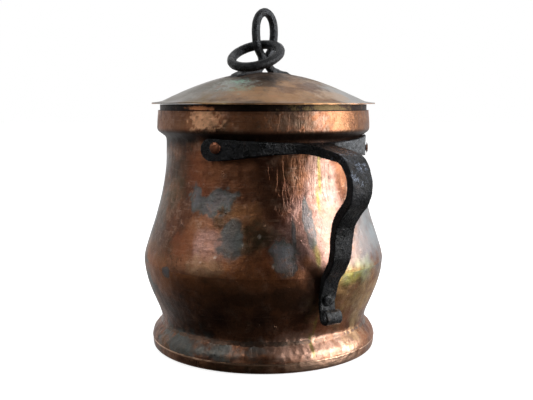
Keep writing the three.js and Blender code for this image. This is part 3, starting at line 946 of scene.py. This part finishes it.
def body_copper():
    shader = Shader("body_copper")
    colour, rough, normal = copper_skin(shader, COPPER_WARM, COPPER_DEEP, COPPER_PALE)
    tarnish_and_highlights, cover = shader.layer("tarnish_and_highlights")
    stains_shade_and_sheen, wrinkled = shader.layer("stains_shade_and_sheen")
    parts = shader.add("ShaderNodeSeparateColor", "Red", Color=stains_shade_and_sheen).node
    slate, soot_and_shade, haze_and_sheen = parts.outputs["Red"], parts.outputs["Green"], parts.outputs["Blue"]
    # Tarnish lies unevenly: the copper's own mottling shows through it.
    thin = shader.fit(shader.noise(120, 8, 0.75), 0.36, 0.6, 0.45, 1)
    colour = shader.mix(shader.times(cover, thin), colour, tarnish_and_highlights)
    # Fine upright wrinkles in the skin behind the handle's grip, with painted shade in their bottoms.
    wrinkle = shader.noise(170, 4, 0.6, shader.stretched(1, 1, 0.09))
    wrinkle = shader.times(shader.fit(shader.from_middle(wrinkle), 0.03, 0.0), wrinkled)
    colour = shader.mix(shader.times(wrinkle, 0.5), colour, CREASE_SHADE)
    normal = shader.bump(wrinkle, -0.0004, 0.5, normal)
    # Slate-blue stain with greenish edges and bare flecks.
    border = shader.times(shader.fit(slate, 0.05, 0.4), shader.fit(slate, 0.95, 0.5))
    colour = shader.mix(shader.times(border, 0.6), colour, TEAL)
    flecks = shader.fit(shader.noise(150, 8, 0.75), 0.5, 0.64, 1, 0.2)
    slate = shader.times(slate, flecks)
    stain = shader.mix(shader.fit(shader.noise(75, 6, 0.7), 0.42, 0.6), SLATE, PALE_SLATE)
    colour = shader.mix(shader.times(slate, 0.86), colour, stain)
    # Pale haze with painted sheen: a pale grey, duller and rougher than the copper.
    colour = shader.mix(shader.times(haze_and_sheen, 0.95), colour, HAZE_AND_SHEEN)
    # Soot with painted shade, painted shadow and a painted dark reflection: near black, duller and
    # rougher than the copper.
    colour = shader.mix(shader.times(soot_and_shade, 0.91), colour, SOOT_AND_SHADE)
    rough = shader.blend(haze_and_sheen, rough, 0.52)
    rough = shader.blend(soot_and_shade, rough, 0.46)
    rough = shader.blend(slate, rough, 0.48)
    dull = shader.math("MAXIMUM", shader.times(slate, 0.7), shader.times(haze_and_sheen, 0.6))
    dull = shader.math("MAXIMUM", shader.times(soot_and_shade, 0.7), dull)
    metallic = shader.blend(dull, 1.0, 0.55)
    return finish_metal(shader, colour, rough, normal, metallic)


# Patches on the pan, the rivets, the skirt and, further down, the lid:
# colour, strength, point (degrees, radius, z), reach (across, up), raggedness, grain
# Painted light: the pan is paler on its right, where the light from the right falls.
PAN_LIT_SIDE = [((0.75, 0.48, 0.34), 0.55, (0, 89, 5), (34, 12), 0.5, 90)]
# Darker on the right rivet.
RIVET_DARKENING = [((0.05, 0.028, 0.02), 0.85, (54, 81, 158), (12, 12), 0.3, 80)]
SKIRT_TARNISH_AND_LIGHT = [
    # Painted shade under the lid's brim.
    (SOOT_AND_SHADE, 0.6, (-20, 81, 190), (26, 8), 0.6, 70),
    ((0.2, 0.135, 0.05), 0.6, (2, 81, 190), (20, 6), 1.1, 240),
    # Painted glint: bright orange in the shade under the brim.
    ((1.0, 0.4, 0.17), 0.95, (-63, 81, 189.3), (11, 1.5), 0.4, 200),
]


def pan_copper():
    shader = Shader("pan_copper")
    tones = (0.36, 0.17, 0.09), (0.14, 0.06, 0.035), COPPER_WARM
    colour, rough, normal = copper_skin(shader, *tones)
    z = shader.height()
    edge = shader.times(shader.fit(z, 0.0066, 0.0076), shader.fit(shader.noise(60, 4), 0.3, 0.5))
    colour = shader.mix(edge, colour, PAN_EDGE)
    under = shader.times(shader.fit(z, 0.0014, 0.0), 0.6)
    colour = shader.mix(under, colour, SOOT_AND_SHADE)
    colour = shader.paint(colour, PAN_LIT_SIDE)
    rough = shader.blend(edge, rough, 0.28)
    return finish_metal(shader, colour, rough, normal, 0.95)


LID_TARNISH_AND_SHEEN = [
    ((0.42, 0.23, 0.105), 0.65, (-18, 66, 200), (30, 12), 0.5, 55),
    # Grey tarnish on the left of the lid, with a painted pale reflection near the edge.
    ((0.36, 0.345, 0.32), 0.8, (-95, 70, 198), (38, 30), 0.5, 34),
    ((0.2, 0.18, 0.15), 0.7, (-75, 50, 206), (24, 14), 0.5, 55),
    # Grey tarnish on the right of the lid, with a painted pale reflection near the edge.
    ((0.46, 0.465, 0.46), 0.8, (32, 74, 196), (26, 13), 0.4, 55),
    (BROWN, 0.7, (4, 56, 204), (11, 5), 0.7, 80),
    (BROWN, 0.6, (-12, 62, 202), (9, 5), 0.7, 80),
    (TAN, 0.5, (17, 70, 198), (12, 6), 0.5, 55),
    (LID_DIRT, 0.75, (-33, 46, 208), (16, 8), 0.6, 80),
    (LID_DIRT, 0.5, (-10, 36, 211), (10, 5), 0.6, 80),
    (LID_DIRT, 0.8, (-70, 8, 216), (28, 13), 0.5, 70),
    ((0.17, 0.165, 0.13), 0.75, (-62, 50, 206), (15, 9), 0.8, 150),
    ((0.36, 0.36, 0.33), 0.7, (-54, 48, 206), (12, 6), 1.2, 300),
    ((0.4, 0.6, 0.48), 0.9, (-52, 43, 208), (6, 2), 1.3, 420),
    ((0.25, 0.27, 0.17), 0.6, (-44, 58, 203), (7, 3), 1.2, 300),
    (ASH, 0.6, (150, 50, 206), (30, 16), 0.5, 34),
    (BROWN, 0.6, (100, 60, 202), (22, 12), 0.6, 55),
    (TAN, 0.5, (200, 66, 200), (24, 12), 0.5, 34),
]


def lid_copper():
    shader = Shader("lid_copper")
    tones = (0.29, 0.16, 0.08), (0.12, 0.068, 0.038), (0.38, 0.27, 0.17)
    colour, rough, normal = copper_skin(shader, *tones)
    z = shader.height()
    olive = shader.fit(shader.noise(17, 4), 0.56, 0.7, 0, 0.45)
    colour = shader.mix(olive, colour, LID_OLIVE)
    colour = shader.paint(colour, LID_TARNISH_AND_SHEEN)
    edge = shader.times(shader.fit(z, 0.1931, 0.1922), shader.fit(shader.noise(60, 4), 0.4, 0.55))
    colour = shader.mix(shader.times(edge, 0.8), colour, LID_EDGE)
    dirt = shader.spot((-70, 8, 216), (30, 14), 0.5, 70)
    rough = shader.blend(dirt, rough, 0.62)
    return finish_metal(shader, colour, rough, normal, 0.92)


def skirt_copper():
    shader = Shader("skirt_copper")
    # The skirt's copper is painted very dark: painted shade under the lid's brim.
    tones = (0.07, 0.036, 0.022), (0.02, 0.012, 0.01), (0.2, 0.11, 0.065)
    colour, rough, normal = copper_skin(shader, *tones)
    colour = shader.paint(colour, SKIRT_TARNISH_AND_LIGHT)
    # Painted shadow: a dark line along the foot of the skirt, where it meets the collar.
    lip_shadow = shader.fit(shader.height(), 0.1882, 0.1878, 0, 0.9)
    colour = shader.mix(lip_shadow, colour, SOOT_AND_SHADE)
    rough = shader.math("MAXIMUM", rough, 0.5)
    return finish_metal(shader, colour, rough, normal, 0.7)


def rivet_copper():
    shader = Shader("rivet_copper")
    tones = (0.34, 0.13, 0.07), (0.12, 0.05, 0.03), (0.5, 0.24, 0.14)
    colour, rough, normal = copper_skin(shader, *tones)
    colour = shader.paint(colour, RIVET_DARKENING)
    return finish_metal(shader, colour, rough, normal, 0.9)


def forged_iron():
    shader = Shader("forged_iron")
    scale = shader.noise(260, 8, 0.75)
    broad = shader.noise(55, 5, 0.6)
    colour = shader.mix(shader.fit(broad, 0.4, 0.66), IRON_BLACK, IRON_GREY)
    colour = shader.mix(shader.fit(scale, 0.54, 0.7, 0, 0.7), colour, IRON_SCALE)
    # Painted sheen: pale grey on the right arm, where it reflects the bright room.
    arm_sheen = shader.spot((42, 80, 162), (36, 14), 0.4, 60)
    arm_sheen = shader.times(arm_sheen, shader.fit(shader.noise(300, 6), 0.4, 0.6, 0.35, 0.9))
    # Painted highlight: bluish specks on the upper bulge of the grip.
    bulge_highlight = shader.spot((0, 120, 146), (14, 12), 0.5, 90)
    bulge_highlight = shader.times(bulge_highlight, shader.fit(shader.noise(220, 8, 0.8), 0.5, 0.62))
    colour = shader.mix(arm_sheen, colour, IRON_ARM_SHEEN)
    scroll = shader.spot((0, 102, 50), (10, 12), 0.4, 90)
    scroll = shader.times(scroll, shader.fit(shader.noise(420, 6, 0.8), 0.5, 0.62, 0.1, 0.9))
    colour = shader.mix(scroll, colour, IRON_SCROLL)
    colour = shader.mix(bulge_highlight, colour, IRON_BULGE_HIGHLIGHT)
    # Painted sheen: pale bluish-grey specks on the ring and the eye.
    high = shader.spot((0, 0, 244), (34, 30), 0.2, 60)
    high = shader.times(high, shader.fit(shader.noise(300, 6), 0.35, 0.65, 0.1, 0.8))
    colour = shader.mix(high, colour, IRON_RING_SHEEN)
    rust = shader.times(shader.fit(shader.noise(130, 6), 0.6, 0.72), 0.35)
    colour = shader.mix(rust, colour, IRON_RUST)
    rough = shader.fit(shader.noise(160, 6, 0.7), 0.34, 0.66, 0.2, 0.55)
    pits = shader.bump(scale, 0.0014, 0.75)
    dents = shader.bump(shader.noise(110, 3), 0.0018, 0.45, pits)
    return finish_metal(shader, colour, rough, dents, 0.45)


# ---- the object ----

def finish_piece(piece, material, node, body):
    piece.data.materials.append(material)
    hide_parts(node)
    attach(piece, body)


IRON = forged_iron()
RIVET = rivet_copper()

BODY_COPPER = body_copper()
finish_piece(make_lower(), BODY_COPPER, "body_lower", "pot")
finish_piece(make_upper(), BODY_COPPER, "body_upper", "pot")
finish_piece(make_pan(), pan_copper(), "base_pan", "pot")
finish_piece(make_dome(), lid_copper(), "lid_dome", "lid")
finish_piece(make_skirt(), skirt_copper(), "lid_skirt", "lid")

# name, node, body, material, slot, voxel size, rounding passes, dent depth, pit depth
IRONWORK = [
    ("handle_iron", "handle", "pot", IRON, "forged_iron", 0.6, 3, 0.24, 0.4),
    ("rivet_left", "handle_rivet_left", "pot", RIVET, "rivet_copper", 0.4, 4, 0.15, 0.3),
    ("rivet_right", "handle_rivet_right", "pot", RIVET, "rivet_copper", 0.4, 4, 0.15, 0.3),
    ("rivet_lower", "handle_rivet_lower", "pot", IRON, "forged_iron", 0.4, 2, 0.25, 0.9),
    ("eye_iron", "lid_eye", "lid", IRON, "forged_iron", 0.4, 2, 0.05, 0.22),
    ("eye_rivet_a", "eye_rivet_front", "lid", IRON, "forged_iron", 0.4, 4, 0.15, 0.3),
    ("eye_rivet_b", "eye_rivet_back", "lid", IRON, "forged_iron", 0.4, 4, 0.15, 0.3),
    ("ring_iron", "lift_ring", "ring", IRON, "forged_iron", 0.4, 2, 0.03, 0.2),
]
for name, node, body, material, slot, voxel, rounding, dents, pits in IRONWORK:
    piece = forged(name, node, voxel, rounding, dents, pits)
    finish_piece(piece, material, node, body)


# ---- floor, light and camera ----

# Metres, from here on.
FLOOR_RINGS = [0.0005, 0.4, 1, 2.5, 6]
FLOOR_Z = cad_low.z - 0.0004
FLOOR_GLOW = 0.86
LIGHT_AIM = Vector((0, 0, 0.12))
ROOM_DIRECTION = (*VIEW_AWAY[:2], 0.3)
ROOM_SPAN = (-0.1, 0.85)
ROOM_LIGHT = (0.03, 0.8)

# name, degrees to the camera's right, degrees up, distance, width, height, power
SOFTBOXES = [
    ("softbox_right", 74, 10, 1.1, 0.75, 1.0, 17),
    ("softbox_left", -52, 37, 1.2, 0.5, 0.55, 2.7),
    ("softbox_low_left", -75, 8, 1.3, 0.3, 0.6, 0.7),
    ("softbox_top", 150, 62, 1.3, 1.0, 1.0, 1.5),
]


def make_floor():
    turn = np.arange(FLOOR_COLUMNS) / FLOOR_COLUMNS * TAU
    points = [(r * math.cos(t), r * math.sin(t), FLOOR_Z) for r in FLOOR_RINGS for t in turn]
    rows = len(FLOOR_RINGS)
    grid = np.arange(rows * FLOOR_COLUMNS).reshape(rows, FLOOR_COLUMNS)
    floor = mesh_from("floor", points, ring_grid(grid, False).tolist())
    shader = Shader("floor_paper")
    shader.surface(Base_Color=PAPER, Roughness=0.9)
    shader.surface(Emission_Color=WHITE, Emission_Strength=FLOOR_GLOW)
    floor.data.materials.append(shader.material)
    floor.visible_glossy = False
    floor.visible_diffuse = False


def make_world():
    """A room that is dim behind the camera and bright behind the pot, and that looks white."""
    world = bpy.data.worlds.new("studio")
    world.use_nodes = True
    bpy.context.scene.world = world
    tree = world.node_tree
    background = tree.nodes["Background"]
    place = tree.nodes.new("ShaderNodeTexCoord").outputs["Generated"]
    away = tree.nodes.new("ShaderNodeVectorMath")
    away.operation = "DOT_PRODUCT"
    tree.links.new(place, away.inputs[0])
    away.inputs[1].default_value = ROOM_DIRECTION
    room = tree.nodes.new("ShaderNodeMapRange")
    room.interpolation_type = "SMOOTHSTEP"
    tree.links.new(away.outputs["Value"], room.inputs["Value"])
    room.inputs["From Min"].default_value = ROOM_SPAN[0]
    room.inputs["From Max"].default_value = ROOM_SPAN[1]
    room.inputs["To Min"].default_value = ROOM_LIGHT[0]
    room.inputs["To Max"].default_value = ROOM_LIGHT[1]
    seen = tree.nodes.new("ShaderNodeLightPath").outputs["Is Camera Ray"]
    strength = tree.nodes.new("ShaderNodeMix")
    tree.links.new(seen, strength.inputs[0])
    tree.links.new(room.outputs["Result"], strength.inputs[2])
    strength.inputs[3].default_value = 1.0
    tree.links.new(strength.outputs[0], background.inputs["Strength"])
    background.inputs["Color"].default_value = (*WHITE, 1)


def softbox(name, turn, rise, distance, width, height, power):
    """An area light that stands round the pot and shines at its middle."""
    direction = VIEW_BEARING + math.radians(turn)
    up = math.radians(rise)
    data = bpy.data.lights.new(name, "AREA")
    data.shape = "RECTANGLE"
    data.size, data.size_y = width, height
    data.energy = power
    light = bpy.data.objects.new(name, data)
    light.location = LIGHT_AIM + distance * Vector(
        (math.cos(direction) * math.cos(up), math.sin(direction) * math.cos(up), math.sin(up))
    )
    light.rotation_mode = "QUATERNION"
    light.rotation_quaternion = (LIGHT_AIM - light.location).to_track_quat("-Z", "Y")
    bpy.context.scene.collection.objects.link(light)


def make_camera():
    camera = bpy.data.objects.new("camera", bpy.data.cameras.new("camera"))
    camera.data.lens = CAMERA_LENS
    camera.data.sensor_width = CAMERA_SENSOR
    camera.location = (
        CAMERA_DISTANCE * math.cos(VIEW_BEARING),
        CAMERA_DISTANCE * math.sin(VIEW_BEARING),
        CAMERA_HEIGHT,
    )
    camera.rotation_euler = (
        math.radians(90 - CAMERA_TILT),
        0,
        VIEW_BEARING + math.radians(90 - CAMERA_PAN),
    )
    camera.data.clip_start, camera.data.clip_end = CAMERA_CLIP
    bpy.context.scene.collection.objects.link(camera)
    bpy.context.scene.camera = camera


make_floor()
make_world()
for lamp in SOFTBOXES:
    softbox(*lamp)
make_camera()
bpy.context.scene.view_settings.view_transform = "Standard"
